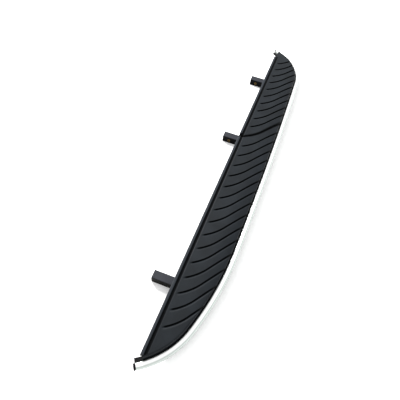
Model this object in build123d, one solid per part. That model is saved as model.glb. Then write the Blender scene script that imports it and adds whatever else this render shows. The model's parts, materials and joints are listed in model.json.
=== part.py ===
from build123d import *
import os
from math import asin, cos, radians, sin, tan

# A left-hand running board for a sport utility vehicle: two moulded tread covers over a welded
# steel frame, with a polished rail along the outboard edge and three square stub tubes that reach
# inboard to the vehicle's brackets.
#
# Places are given as a station (distance behind the front tip), a reach (distance outboard of the
# inboard lip) and a height above the ground under the stub tubes.  The row frame is +X forward,
# +Y outboard, +Z up, so X = -station and Y = reach until the finished parts are centred.

# ---- heights
TUBE = 35.0                      # square cross tube, outside
BEAM_WIDTH = 40.0
BEAM_HEIGHT = 20.0
BEAM_TOP = TUBE + BEAM_HEIGHT
STEEL_WALL = 2.0
STEEL_CORNER = 3.0               # outside corner radius of every tube and beam
TREAD_TOP = 72.0                 # flat part of the tread
LIP_TOP = TREAD_TOP + 7.0
SKIRT_BOTTOM = 60.0              # inboard skirt of the covers
WALL_BOTTOM = 40.0               # outboard wall of the covers

# ---- cover outline, as bends that follow each other from the front tail to the rear tail
EDGE_START = (-11.0, -15.0)
EDGE_HEADING = 58.0              # degrees, from the direction of growing station
EDGE_BENDS = [(280.0, 41.6), (1260.0, 15.4), (23000.0, 2.8), (230.0, 55.2)]   # radius, turn
EDGE_TAIL = 74.0                 # straight run down to the rear tail

# ---- cover section
SKIN = 3.0
GROOVE_DEPTH = 5.0
GROOVE_WIDTH = 9.0
CROWN_START = 90.0               # reach at which the tread starts to fall outboard
CROWN_RADIUS = 355.0
EDGE_ROLL = 6.0
LIP_INNER = -3.0
LIP_OUTER = 6.5
LIP_ROUND = (2.0, 1.5)           # inboard and outboard edges of the lip
LIP_FOOT = 9.5                   # foot of the lip's steep outboard face
CHANNEL = (17.5, 1.5)            # shallow channel beside the lip: where it ends, depth
COVE_END = 20.0
LIP_START = 9.0
LIP_END = 1742.0
TIP_SETBACK = 6.5                # inboard edge beyond the ends of the lip
RIB_THICKNESS = 2.4
POST = 9.0                       # posts inside the cover for the flange screws

# ---- grooves: arcs that sweep back as they run outboard, then run straight
SWEEP_START = 10.0               # reach where the arc begins
SWEEP_ANGLE = 25.0               # degrees from straight outboard
STRAIGHT_START = 95.0
STRAIGHT_ANGLE = 57.0
GROOVE_INNER = 31.0
GROOVE_OUTER = 178.0
FRONT_GROOVES = 15
FRONT_FIRST = 119.0
FRONT_PITCH = 63.83
REAR_GROOVES = 10
REAR_FIRST = 1151.0
REAR_PITCH = 60.2
SEAM_STATION = 1082.5            # where the seam crosses the groove starts
SEAM_GAP = 7.0
NOTCH = (9.0, 17.0, 8.0)         # opening in the lip: ahead of the seam, behind it, depth
NOTCH_FILLER = (61.5, 68.0)      # heights of the strip's tongue in the notch
NOTCH_CLEARANCE = 0.3
STRIP_WIDTH = 24.0               # backing strip under the seam
STRIP_THICKNESS = 2.5
STRIP_INNER = SKIN + 8.0
FILLER_DEPTH = 6.0               # top of the strip's rib below the tread

# ---- rail
RAIL_GAP = 5.0
RAIL_WIDTH = 21.0
RAIL_HEIGHT = 28.0
RAIL_BOTTOM = 25.0
RAIL_WALL = 1.5
RAIL_OUTER_RADIUS = 10.0
RAIL_INNER_RADIUS = 5.0
FLANGE = (13.0, 3.0)             # carrier flange under the cover wall: depth, thickness
WEB = (3.5, 14.0)                # carrier web against the rail: thickness, depth
RAIL_SCREW = (4.0, 8.0, 3.0, 5.0)      # shank, head diameter, head height, bite into the rail
FLANGE_SCREW = (3.5, 8.0, 2.5, 14.0)   # shank, head diameter, head height, bite into the cover
CAP_FLANGE = 5.0
CAP_DOME = 2.0
CAP_DEPTH = 9.0

# ---- frame
INNER_REACH = 18.0               # inboard face of each beam
OUTER_REACH = 80.0
INNER_BEAM = (90.0, 1745.0)      # stations of the ends
OUTER_BEAM = (275.0, 1660.0)
TUBE_STATIONS = {"front": 296.0, "middle": 1091.0, "rear": 1560.0}
STUB_ENDS = {"front": -88.5, "middle": -78.0, "rear": -77.0}
NUT_REACH = -46.0
NUT_BODY = 11.0
NUT_BORE = 6.8
NUT_FLANGE = (13.0, 1.5)
NUT_LENGTH = 15.0
PLUG_DEPTH = 14.0
PLUG_FLANGE = 3.0
GUSSET = (14.0, 16.0, 2.0)       # foot, height, thickness
GUSSET_SPREAD = 10.0             # from the cross tube's middle
OUTRIGGER = (12.0, 16.0)         # thickness along the board, height
FRONT_OUTRIGGER = (225.0, 290.0)       # stations at the inner and at the outer beam
REAR_OUTRIGGER = (1690.0, 1645.0)
TIP_PLATE = 3.0
FRONT_PLATE = [(22.0, 8.0), (115.0, 8.0), (115.0, 56.0), (70.0, 56.0), (38.0, 34.0)]
REAR_PLATE = [(1790.0, 8.0), (1700.0, 8.0), (1700.0, 56.0), (1740.0, 56.0), (1772.0, 34.0)]

# ---- cover fixings: stations of the tabs on each beam
INNER_TABS = [135.0, 430.0, 700.0, 960.0, 1200.0, 1400.0, 1722.0]
OUTER_TABS = [370.0, 560.0, 830.0, 1300.0, 1500.0]
TAB = (25.0, 20.0, 3.0)
SCREW = 4.0
SCREW_HEAD = (10.0, 3.0)         # diameter, height
SCREW_BITE = 12.0
WASHER = (14.0, 1.2)
BOSS = 12.0
PAD = (30.0, 24.0)               # length along the beam, width
PAD_STATIONS = [240.0, 500.0, 770.0, 1010.0, 1240.0, 1460.0, 1595.0]
RIB_STATIONS = [170.0, 310.0, 460.0, 610.0, 740.0, 880.0, 1030.0, 1270.0, 1350.0, 1490.0, 1625.0]
EDGE_FIXINGS = 9
FLANGE_SCREW_INSET = 8.0
PLUG_CLEARANCE = 0.4             # between the rail's inside and its caps

EVERYWHERE = 2200.0


def place(station, reach, height=0.0):
    return Vector(-station, reach, height)


def block(stations, reaches, heights):
    """Box between two stations, two reaches and two heights."""
    low = place(stations[1], reaches[0], heights[0])
    size = (stations[1] - stations[0], reaches[1] - reaches[0], heights[1] - heights[0])
    return Pos(low) * Box(*size, align=(Align.MIN, Align.MIN, Align.MIN))


def upright(diameter, station, reach, low, high):
    return Pos(place(station, reach, low)) * Cylinder(
        diameter / 2, high - low, align=(Align.CENTER, Align.CENTER, Align.MIN))


def slab(edges, low, high):
    """Solid of a closed plan outline between two heights."""
    face = Face(Wire(edges))
    if face.normal_at().Z < 0:
        face = -face
    return extrude(Pos(0, 0, low) * face, high - low)


def polygon_slab(points, low, high):
    corners = [place(*point) for point in points]
    return slab(Polyline(*corners, close=True).edges(), low, high)


# ---- the outboard edge -------------------------------------------------------------------------

def edge_line(offset=0.0):
    """Edges of the outboard outline, moved outboard by the offset."""
    heading = radians(EDGE_HEADING)
    station = EDGE_START[0] - offset * sin(heading)
    reach = EDGE_START[1] + offset * cos(heading)
    edges = []
    for radius, turn in EDGE_BENDS:
        grown = radius + offset

        def along(angle):
            step_back = grown * (sin(heading) - sin(heading - angle))
            step_out = grown * (cos(heading - angle) - cos(heading))
            return station + step_back, reach + step_out

        middle = along(radians(turn) / 2)
        end = along(radians(turn))
        edges.append(ThreePointArc(place(station, reach), place(*middle), place(*end)).edge())
        station, reach = end
        heading -= radians(turn)
    tail = (station + EDGE_TAIL * cos(heading), reach + EDGE_TAIL * sin(heading))
    edges.append(Line(place(station, reach), place(*tail)).edge())
    return edges


def plan_slab(offset, inboard, low, high):
    """Plan of the covers between two heights, kept outboard of a given reach."""
    edges = edge_line(offset)
    first = edges[0].position_at(0)
    last = edges[-1].position_at(1)
    whole = slab(edges + [Line(last, first).edge()], low, high)
    return whole & block((-100, EVERYWHERE), (inboard, 300), (low, high))


def along_edge(section_points, fillets=()):
    """Sweep a section, given as outboard offset and height, along the outboard edge."""
    path = Wire(edge_line())
    start = path.position_at(0)
    tangent = path.tangent_at(0)
    outboard = tangent.cross(Vector(0, 0, 1))
    if outboard.X < 0:
        outboard = -outboard
    plane = Plane(origin=(start.X, start.Y, 0), x_dir=outboard, z_dir=tangent)
    lift = 1 if plane.y_dir.Z > 0 else -1
    outline = Polyline(*[(offset, lift * height) for offset, height in section_points], close=True)
    face = make_face(outline)
    for corner, radius in fillets:
        nearest = Vector(corner[0], lift * corner[1], 0)
        vertex = face.vertices().sort_by_distance(nearest)[0]
        face = fillet(vertex, radius)
    return sweep(plane * face, path=path)


# ---- the tread covers --------------------------------------------------------------------------

def crown_prism(drop):
    """Everything below the tread surface, lowered by a drop."""
    far = 200.0
    top = TREAD_TOP - drop
    fall = CROWN_RADIUS - (CROWN_RADIUS ** 2 - (far - CROWN_START) ** 2) ** 0.5
    half = (far - CROWN_START) / 2
    half_fall = CROWN_RADIUS - (CROWN_RADIUS ** 2 - half ** 2) ** 0.5
    edges = Polyline((far, top - fall), (far, 0), (-50, 0), (-50, top), (CROWN_START, top)).edges()
    crown = ThreePointArc(
        (CROWN_START, top), (CROWN_START + half, top - half_fall), (far, top - fall)).edge()
    face = Plane.YZ * Face(Wire(list(edges) + [crown]))
    prism = extrude(face, EVERYWHERE, dir=(-1, 0, 0))
    return Pos(100, 0, 0) * prism


def full_cover():
    """Solid cover without its lip, with the outboard edge rolled over."""
    body = plan_slab(0, 0, WALL_BOTTOM, LIP_TOP) & crown_prism(0)
    crest = [
        edge for edge in body.edges()
        if edge.center().Z > SKIRT_BOTTOM and edge.center().Y > 1
        and abs(edge.tangent_at(0.5).Z) < 0.5
    ]
    on_wall = [edge for edge in crest if not lies_across(edge)]
    return fillet(on_wall, EDGE_ROLL)


def lies_across(edge):
    """True for an edge that runs along the start of the crown instead of along the outline."""
    return abs(edge.position_at(0).Y - CROWN_START) < 0.01 and abs(
        edge.position_at(1).Y - CROWN_START) < 0.01


def lip():
    """Raised inboard lip, along the whole board."""
    section = Polyline(
        (LIP_INNER, SKIRT_BOTTOM), (LIP_INNER, LIP_TOP), (LIP_OUTER, LIP_TOP), (LIP_FOOT, TREAD_TOP),
        (COVE_END, TREAD_TOP), (COVE_END, TREAD_TOP - SKIN),
        (LIP_INNER + SKIN, TREAD_TOP - SKIN), (LIP_INNER + SKIN, SKIRT_BOTTOM), close=True)
    face = make_face(section)
    for reach, radius in zip((LIP_INNER, LIP_OUTER), LIP_ROUND):
        face = fillet(face.vertices().sort_by_distance(Vector(reach, LIP_TOP, 0))[0], radius)
    bar = extrude(Plane.YZ * face, LIP_END - LIP_START, dir=(-1, 0, 0))
    bar = Pos(-LIP_START, 0, 0) * bar
    return bar & plan_slab(0, LIP_INNER, WALL_BOTTOM, LIP_TOP + 1)


def sweep_angle(reach):
    arc_radius = (STRAIGHT_START - SWEEP_START) / (
        sin(radians(STRAIGHT_ANGLE)) - sin(radians(SWEEP_ANGLE)))
    inside = min(max(reach, SWEEP_START), STRAIGHT_START)
    return asin(sin(radians(SWEEP_ANGLE)) + (inside - SWEEP_START) / arc_radius), arc_radius


def sweep_back(reach):
    """Station gained by a groove at a given reach, counted from the start of its arc."""
    angle, arc_radius = sweep_angle(reach)
    back = arc_radius * (cos(radians(SWEEP_ANGLE)) - cos(angle))
    if reach > STRAIGHT_START:
        back += (reach - STRAIGHT_START) * tan(angle)
    if reach < SWEEP_START:
        back += (reach - SWEEP_START) * tan(angle)
    return back


def groove_point(origin, reach, side):
    """Point beside a groove's middle line; the origin is its station at the groove starts."""
    angle, _ = sweep_angle(reach)
    station = origin + sweep_back(reach) - sweep_back(GROOVE_INNER)
    return place(station + side * cos(angle), reach - side * sin(angle))


def groove_slab(origin, width, inner, low, high, rounded=True):
    """Plan strip that follows the groove curve from an inner reach out past the edge."""
    half = width / 2
    middle = (max(inner, SWEEP_START) + STRAIGHT_START) / 2

    def flank(side):
        arc_from = max(inner, SWEEP_START)
        line = [
            ThreePointArc(
                groove_point(origin, arc_from, side),
                groove_point(origin, middle, side),
                groove_point(origin, STRAIGHT_START, side)).edge(),
            Line(
                groove_point(origin, STRAIGHT_START, side),
                groove_point(origin, GROOVE_OUTER, side)).edge(),
        ]
        if inner < SWEEP_START:
            line.insert(0, Line(
                groove_point(origin, inner, side), groove_point(origin, SWEEP_START, side)).edge())
        return line

    edges = flank(half) + flank(-half)
    front_end = groove_point(origin, inner, -half)
    rear_end = groove_point(origin, inner, half)
    if rounded:
        angle, _ = sweep_angle(inner)
        tip = groove_point(origin, inner, 0) - place(half * sin(angle), half * cos(angle))
        edges.append(ThreePointArc(rear_end, tip, front_end).edge())
    else:
        edges.append(Line(rear_end, front_end).edge())
    edges.append(Line(
        groove_point(origin, GROOVE_OUTER, half), groove_point(origin, GROOVE_OUTER, -half)).edge())
    return slab(edges, low, high)


def groove_origins():
    front = [FRONT_FIRST + FRONT_PITCH * count for count in range(FRONT_GROOVES)]
    rear = [REAR_FIRST + REAR_PITCH * count for count in range(REAR_GROOVES)]
    return front + rear


def boss_places():
    inner = [(station, INNER_REACH + BEAM_WIDTH + TAB[1] / 2) for station in INNER_TABS]
    outer = [(station, OUTER_REACH - TAB[1] / 2) for station in OUTER_TABS]
    return inner + outer


def edge_places(count, offset, first, last):
    """Evenly spaced points along the outboard edge, each with its outboard direction."""
    path = Wire(edge_line(offset))
    found = []
    for index in range(count):
        share = first + (last - first) * index / (count - 1)
        tangent = path.tangent_at(share)
        outboard = tangent.cross(Vector(0, 0, 1))
        if outboard.Y < 0:
            outboard = -outboard
        found.append((path.position_at(share), outboard))
    return found


def flange_screw_places():
    return edge_places(EDGE_FIXINGS, -FLANGE_SCREW_INSET, 0.07, 0.93)


def tread_covers():
    """Both covers, the hollow under them and the strip that backs their joint."""
    outer = full_cover()
    hollow = plan_slab(-SKIN, LIP_INNER + SKIN, 0, LIP_TOP) & crown_prism(GROOVE_DEPTH + SKIN)
    cover = outer - hollow
    lowered = Pos(0, 0, -GROOVE_DEPTH) * outer
    for origin in groove_origins():
        strip = groove_slab(origin, GROOVE_WIDTH, GROOVE_INNER, SKIRT_BOTTOM - 12, LIP_TOP)
        cover -= strip - lowered
    cover += lip()
    channel_end, channel_depth = CHANNEL
    cover -= block(
        (LIP_START, LIP_END), (LIP_FOOT, channel_end), (TREAD_TOP - channel_depth, LIP_TOP))
    for stations in ((-100, LIP_START), (LIP_END, EVERYWHERE)):
        cover -= block(stations, (LIP_INNER - 1, TIP_SETBACK), (0, LIP_TOP + 1))
        skirt = block(stations, (TIP_SETBACK, TIP_SETBACK + SKIN), (SKIRT_BOTTOM, LIP_TOP))
        cover += outer & skirt
    seam = groove_slab(SEAM_STATION, SEAM_GAP, LIP_INNER - 1, 0, LIP_TOP + 1, rounded=False)
    notch = notch_slab(0, 0, LIP_TOP + 1, LIP_INNER - 1)
    for station in RIB_STATIONS:
        half = RIB_THICKNESS / 2
        rib = block((station - half, station + half), (0, 150), (BEAM_TOP + 2, LIP_TOP))
        cover += rib & hollow
    for station, reach in boss_places():
        cover += upright(BOSS, station, reach, BEAM_TOP, LIP_TOP) & hollow
    for point, _ in flange_screw_places():
        post = upright(POST, -point.X, point.Y, WALL_BOTTOM, LIP_TOP)
        cover += post & hollow
    for station, reach in boss_places():
        cover -= upright(SCREW, station, reach, BEAM_TOP, BEAM_TOP + 8)
    for point, _ in flange_screw_places():
        cover -= upright(FLANGE_SCREW[0], -point.X, point.Y, WALL_BOTTOM, WALL_BOTTOM + 12)
    cover -= seam
    cover -= notch
    pieces = sorted(cover.solids(), key=lambda piece: -piece.volume)[:2]
    front, rear = sorted(pieces, key=lambda piece: -piece.center().X)
    return front, rear, outer, hollow


def notch_slab(clearance, low, high, inner):
    """Plan of the notch in the lip at the seam, from an inner reach to its back."""
    seam_at = SEAM_STATION + sweep_back(0) - sweep_back(GROOVE_INNER)
    ahead, behind, depth = NOTCH
    stations = (seam_at - ahead + clearance, seam_at + behind - clearance)
    slot = block(stations, (inner, depth - clearance), (low, high))
    return fillet(slot.edges().filter_by(Axis.Z).group_by(Axis.Y)[-1], depth / 2)


def joint_strip(outer, hollow):
    """T-shaped strip under the joint, with a rib in the gap and a tongue in the notch of the lip."""
    room = block((-100, EVERYWHERE), (STRIP_INNER, 150), (0, LIP_TOP))
    low = BEAM_TOP - 8
    backing = groove_slab(SEAM_STATION, STRIP_WIDTH, STRIP_INNER, low, LIP_TOP, rounded=False)
    backing = (backing & hollow & room) - Pos(0, 0, -STRIP_THICKNESS) * hollow
    filler = groove_slab(SEAM_STATION, SEAM_GAP, STRIP_INNER, low, LIP_TOP, rounded=False)
    filler = (filler & (Pos(0, 0, -FILLER_DEPTH) * outer) & room) - hollow
    tongue = notch_slab(NOTCH_CLEARANCE, *NOTCH_FILLER, LIP_INNER + NOTCH_CLEARANCE)
    seam_at = SEAM_STATION + sweep_back(STRIP_INNER) - sweep_back(GROOVE_INNER)
    half = SEAM_GAP / 2
    neck = block((seam_at - half, seam_at + half), (NOTCH[2] / 2, STRIP_INNER + STRIP_WIDTH / 2),
                 (NOTCH_FILLER[0], TREAD_TOP - GROOVE_DEPTH - SKIN))
    return largest(backing + filler + tongue + neck)


def largest(shape):
    return sorted(shape.solids(), key=lambda solid: -solid.volume)[0]


# ---- rail and carrier --------------------------------------------------------------------------

def rail_section(inset=0.0):
    near = RAIL_GAP + inset
    far = RAIL_GAP + RAIL_WIDTH - inset
    low = RAIL_BOTTOM + inset
    high = RAIL_BOTTOM + RAIL_HEIGHT - inset
    corners = [(near, low), (far, low), (far, high), (near, high)]
    fillets = [
        (corners[0], RAIL_INNER_RADIUS - inset), (corners[1], RAIL_OUTER_RADIUS - inset),
        (corners[2], RAIL_OUTER_RADIUS - inset), (corners[3], RAIL_INNER_RADIUS - inset),
    ]
    return corners, fillets


def rail_screw_places():
    return edge_places(EDGE_FIXINGS - 1, 0, 0.12, 0.88)


def rail_screw(point, outboard):
    """Pan-head screw through the carrier web into the rail."""
    shank_width, head_width, head_height, bite = RAIL_SCREW
    height = WALL_BOTTOM - (FLANGE[1] + WEB[1]) / 2
    web_inner = RAIL_GAP - WEB[0]
    plane = Plane(origin=(point.X, point.Y, height), z_dir=outboard)
    low = (Align.CENTER, Align.CENTER, Align.MIN)
    head = plane * Pos(0, 0, web_inner - head_height) * Cylinder(head_width / 2, head_height, align=low)
    shank = plane * Pos(0, 0, web_inner) * Cylinder(shank_width / 2, WEB[0] + bite, align=low)
    return head + shank


def trim_rail():
    outer = along_edge(*rail_section())
    inner = along_edge(*rail_section(RAIL_WALL))
    rail = outer - inner
    for point, outboard in rail_screw_places():
        rail -= rail_screw(point, outboard)
    return rail


def trim_carrier():
    top = WALL_BOTTOM
    section = [
        (-FLANGE[0], top - FLANGE[1]), (-FLANGE[0], top), (RAIL_GAP, top),
        (RAIL_GAP, top - WEB[1]), (RAIL_GAP - WEB[0], top - WEB[1]),
        (RAIL_GAP - WEB[0], top - FLANGE[1]),
    ]
    carrier = along_edge(section)
    for point, outboard in rail_screw_places():
        carrier -= rail_screw(point, outboard)
    for point, _ in flange_screw_places():
        carrier -= upright(FLANGE_SCREW[0], -point.X, point.Y, top - FLANGE[1] - 1, top + 1)
    return carrier


def flange_screw(point):
    shank_width, head_width, head_height, bite = FLANGE_SCREW
    top = WALL_BOTTOM - FLANGE[1]
    head = upright(head_width, -point.X, point.Y, top - head_height, top)
    shank = upright(shank_width, -point.X, point.Y, top, top + bite)
    return head + shank


def rail_cap(at_front):
    """Plug with a domed flange that closes one end of the rail."""
    path = Wire(edge_line())
    share = 0 if at_front else 1
    end = path.position_at(share)
    inward = path.tangent_at(share) if at_front else -path.tangent_at(share)
    outboard = Vector(0, 0, 1).cross(inward) if at_front else inward.cross(Vector(0, 0, 1))
    if outboard.X * (1 if at_front else -1) < 0:
        outboard = -outboard

    def face_at(inset):
        corners, fillets = rail_section(inset)
        plane = Plane(origin=(end.X, end.Y, 0), x_dir=outboard, z_dir=-inward)
        lift = 1 if plane.y_dir.Z > 0 else -1
        face = make_face(Polyline(*[(offset, lift * height) for offset, height in corners], close=True))
        for corner, radius in fillets:
            nearest = Vector(corner[0], lift * corner[1], 0)
            face = fillet(face.vertices().sort_by_distance(nearest)[0], radius)
        return plane * face

    flange = extrude(face_at(0), CAP_FLANGE, dir=-inward)
    far_face = max(flange.faces(), key=lambda face: face.center().dot(-inward))
    flange = fillet(far_face.edges(), CAP_DOME)
    plug = extrude(face_at(RAIL_WALL + PLUG_CLEARANCE), CAP_DEPTH, dir=inward)
    return flange + plug


# ---- steel frame -------------------------------------------------------------------------------

def tube_plane(height):
    """Plane for the section of a tube that runs along +Y with its underside at height zero."""
    return Plane(origin=(0, 0, height / 2), x_dir=(1, 0, 0), z_dir=(0, 1, 0))


def tube_inside(width, height):
    wall = 2 * STEEL_WALL
    return RectangleRounded(width - wall, height - wall, STEEL_CORNER - STEEL_WALL)


def hollow_bar(width, height, length):
    """Rectangular tube with rounded corners, along +Y from the origin."""
    section = RectangleRounded(width, height, STEEL_CORNER) - tube_inside(width, height)
    return extrude(tube_plane(height) * section, length, dir=(0, 1, 0))


def end_plug(width, height):
    """Moulded plug for the end of such a tube, with its flange just outside."""
    body = extrude(tube_plane(height) * tube_inside(width, height), PLUG_DEPTH, dir=(0, 1, 0))
    cover = RectangleRounded(width, height, STEEL_CORNER)
    return body + extrude(tube_plane(height) * cover, PLUG_FLANGE, dir=(0, -1, 0))


def beam(ends, reach):
    bar = Rot(0, 0, 90) * hollow_bar(BEAM_WIDTH, BEAM_HEIGHT, ends[1] - ends[0])
    return Pos(place(ends[0], reach + BEAM_WIDTH / 2, TUBE)) * bar


def beam_plugs():
    """Plugs in the four beam ends, each turned so that its body points into its beam."""
    plugs = []
    for ends, reach in ((INNER_BEAM, INNER_REACH), (OUTER_BEAM, OUTER_REACH)):
        for station, turn in zip(ends, (90, -90)):
            plug = Rot(0, 0, turn) * end_plug(BEAM_WIDTH, BEAM_HEIGHT)
            plugs.append(Pos(place(station, reach + BEAM_WIDTH / 2, TUBE)) * plug)
    return plugs


def cross_tube(name):
    station = TUBE_STATIONS[name]
    start = STUB_ENDS[name]
    tube = hollow_bar(TUBE, TUBE, OUTER_REACH + BEAM_WIDTH - start)
    tube = Pos(place(station, start)) * tube
    if name != "front":
        tube -= nut_cylinder(station, NUT_BODY, 0, NUT_LENGTH)
    return tube


def nut_cylinder(station, diameter, outside, inside):
    """Cylinder along X through the front wall of a cross tube."""
    middle = place(station - TUBE / 2 - outside, NUT_REACH, TUBE / 2)
    pin = Cylinder(diameter / 2, outside + inside, align=(Align.CENTER, Align.CENTER, Align.MIN))
    return Pos(middle) * Rot(0, -90, 0) * pin


def rivet_nut(name):
    station = TUBE_STATIONS[name]
    nut = nut_cylinder(station, NUT_BODY, 0, NUT_LENGTH)
    nut += nut_cylinder(station, NUT_FLANGE[0], NUT_FLANGE[1], 0)
    return nut - nut_cylinder(station, NUT_BORE, NUT_FLANGE[1] + 1, NUT_LENGTH + 1)


def cross_tube_plugs():
    """Plugs in the outboard ends; the stub ends stay open."""
    plug = Rot(0, 0, 180) * end_plug(TUBE, TUBE)
    return [Pos(place(station, OUTER_REACH + BEAM_WIDTH)) * plug for station in TUBE_STATIONS.values()]


def gussets():
    """Small triangular plates between each cross tube and the inner beam."""
    foot, height, thickness = GUSSET
    corners = [(INNER_REACH, TUBE), (INNER_REACH - foot, TUBE), (INNER_REACH, TUBE + height)]
    face = Plane.YZ * make_face(Polyline(*corners, close=True))
    plates = []
    for station in TUBE_STATIONS.values():
        for side in (-GUSSET_SPREAD, GUSSET_SPREAD):
            plates.append(Pos(side - station - thickness / 2, 0, 0) * extrude(face, thickness, dir=(1, 0, 0)))
    return plates


def outrigger(inner_station, outer_station):
    """Flat bar on edge that ties the end of the outer beam back to the inner beam."""
    half = OUTRIGGER[0] / 2
    start = INNER_REACH + BEAM_WIDTH
    bar = polygon_slab([
        (inner_station - half, start), (inner_station + half, start),
        (outer_station + half, OUTER_REACH), (outer_station - half, OUTER_REACH)],
        TUBE, TUBE + OUTRIGGER[1])
    return bar


def tip_support(points):
    return polygon_slab(points, BEAM_TOP, BEAM_TOP + TIP_PLATE)


def cover_tabs():
    length, width, thickness = TAB
    tabs = []
    for station, reach in boss_places():
        tab = block(
            (station - length / 2, station + length / 2), (reach - width / 2, reach + width / 2),
            (BEAM_TOP - thickness, BEAM_TOP))
        tabs.append(tab - upright(SCREW + 1, station, reach, 0, BEAM_TOP + 1))
    return tabs


def cover_washer(station, reach):
    diameter, thickness = WASHER
    top = BEAM_TOP - TAB[2]
    disc = upright(diameter, station, reach, top - thickness, top)
    return disc - upright(SCREW + 1, station, reach, 0, top + 1)


def cover_screw(station, reach):
    diameter, height = SCREW_HEAD
    top = BEAM_TOP - TAB[2] - WASHER[1]
    head = upright(diameter, station, reach, top - height, top)
    head = fillet(head.edges().group_by(Axis.Z)[0], 1)
    return head + upright(SCREW, station, reach, top, top + SCREW_BITE)


def foam_pads(hollow):
    """Anti-rattle pads between the beams and the underside of the covers."""
    length, width = PAD
    pads = []
    for station in PAD_STATIONS:
        for reach, ends in ((INNER_REACH, INNER_BEAM), (OUTER_REACH, OUTER_BEAM)):
            if station < ends[0] + length:
                continue
            middle = reach + BEAM_WIDTH / 2
            pad = block(
                (station - length / 2, station + length / 2), (middle - width / 2, middle + width / 2),
                (BEAM_TOP, LIP_TOP))
            pads.append(pad & hollow)
    return pads


# ---- writing the parts -------------------------------------------------------------------------

def build():
    front_cover, rear_cover, outer, hollow = tread_covers()
    parts = {
        "front_tread_cover": [front_cover],
        "rear_tread_cover": [rear_cover],
        "cover_joint_strip": [joint_strip(outer, hollow)],
        "trim_carrier": [trim_carrier()],
        "trim_rail": [trim_rail()],
        "front_rail_cap": [rail_cap(True)],
        "rear_rail_cap": [rail_cap(False)],
        "inner_beam": [beam(INNER_BEAM, INNER_REACH)],
        "outer_beam": [beam(OUTER_BEAM, OUTER_REACH)],
        "beam_end_plugs": beam_plugs(),
        "cross_tube_plugs": cross_tube_plugs(),
        "gusset_plates": gussets(),
        "front_outrigger": [outrigger(*FRONT_OUTRIGGER)],
        "rear_outrigger": [outrigger(*REAR_OUTRIGGER)],
        "front_tip_support": [tip_support(FRONT_PLATE)],
        "rear_tip_support": [tip_support(REAR_PLATE)],
        "cover_tabs": cover_tabs(),
        "cover_washers": [cover_washer(*spot) for spot in boss_places()],
        "cover_screws": [cover_screw(*spot) for spot in boss_places()],
        "rail_screws": [rail_screw(*spot) for spot in rail_screw_places()],
        "flange_screws": [flange_screw(point) for point, _ in flange_screw_places()],
        "foam_pads": foam_pads(hollow),
        "middle_rivet_nut": [rivet_nut("middle")],
        "rear_rivet_nut": [rivet_nut("rear")],
    }
    for name in TUBE_STATIONS:
        parts[name + "_cross_tube"] = [cross_tube(name)]
    return parts


def main():
    parts = build()
    boxes = [shape.bounding_box() for shapes in parts.values() for shape in shapes]
    middle_x = (min(box.min.X for box in boxes) + max(box.max.X for box in boxes)) / 2
    middle_y = (min(box.min.Y for box in boxes) + max(box.max.Y for box in boxes)) / 2
    centred = Pos(-middle_x, -middle_y, 0)
    os.makedirs("parts", exist_ok=True)
    for name, shapes in parts.items():
        solids = [centred * solid for shape in shapes for solid in shape.solids()]
        export_step(Compound(solids), "parts/" + name + ".step")
    print("centre at station", -middle_x, "reach", middle_y)


main()
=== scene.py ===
import json
import math

import bmesh
import bpy
import numpy as np
from mathutils import Matrix, Vector


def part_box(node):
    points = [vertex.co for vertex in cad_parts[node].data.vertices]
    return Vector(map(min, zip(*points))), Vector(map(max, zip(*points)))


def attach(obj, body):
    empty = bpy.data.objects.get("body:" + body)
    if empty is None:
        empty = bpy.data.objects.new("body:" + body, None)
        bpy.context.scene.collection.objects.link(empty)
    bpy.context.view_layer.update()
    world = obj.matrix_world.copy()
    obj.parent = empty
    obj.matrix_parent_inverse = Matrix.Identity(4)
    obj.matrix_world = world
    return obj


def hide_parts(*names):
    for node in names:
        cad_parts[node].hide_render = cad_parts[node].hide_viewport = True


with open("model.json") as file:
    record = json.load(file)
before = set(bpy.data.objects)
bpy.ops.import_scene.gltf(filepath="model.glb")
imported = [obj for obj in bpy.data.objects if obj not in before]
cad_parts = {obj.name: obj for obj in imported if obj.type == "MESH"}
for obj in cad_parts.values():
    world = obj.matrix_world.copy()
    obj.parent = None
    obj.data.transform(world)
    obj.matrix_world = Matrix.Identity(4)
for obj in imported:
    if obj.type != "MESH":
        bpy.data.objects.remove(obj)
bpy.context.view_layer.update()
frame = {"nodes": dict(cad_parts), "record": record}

# A left-hand running board: two moulded tread covers with swept grooves over a welded steel frame,
# with a polished rail along the outboard edge.  +X is forward, +Y outboard and +Z up.
#
# Sizes are millimetres.  A place is a station (distance behind the front tip), a reach (distance
# outboard of the inboard lip) and a height above the ground under the stub tubes.

MM = 0.001

# ---- cover outline: bends that follow each other from the front tail to the rear tail
EDGE_START = (-11.0, -15.0)
EDGE_HEADING = 58.0              # degrees, from the direction of growing station
EDGE_BENDS = [(280.0, 41.6), (1260.0, 15.4), (23000.0, 2.8), (230.0, 55.2)]   # radius, turn
EDGE_TAIL = 74.0
EDGE_STEPS = 400                 # samples in each bend, for finding where a column meets the edge
PATH_STEPS = 60                  # samples in each bend, for the rail
BEYOND_EDGE = 200.0              # a reach that is outboard of the edge everywhere
HALVINGS = 40                    # steps of the search for the edge

# ---- cover section
TREAD_TOP = 72.0
SKIRT_BOTTOM = 60.0
WALL_BOTTOM = 40.0
SKIN = 3.0
CROWN_START = 90.0
CROWN_RADIUS = 355.0
EDGE_ROLL = 6.0
LIP_HEIGHT = 7.0
LIP_INNER = -3.0
LIP_FLAT = 7.0                   # where the lip's flat top ends
LIP_ROUND = 2.0
LIP_FOOT = 9.5                   # foot of the lip's steep outboard face
CHANNEL_DEPTH = 1.5              # shallow channel beside the lip
CHANNEL_RISE = (16.5, 19.5)      # reaches between which the channel comes back up to the tread
LIP_START = 9.0
LIP_END = 1742.0
LIP_RAMP = 1.5                   # length over which the lip rises at its ends
TIP_SETBACK = 6.5                # inboard edge beyond the ends of the lip
WALL_CHAMFER = 0.8

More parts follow.
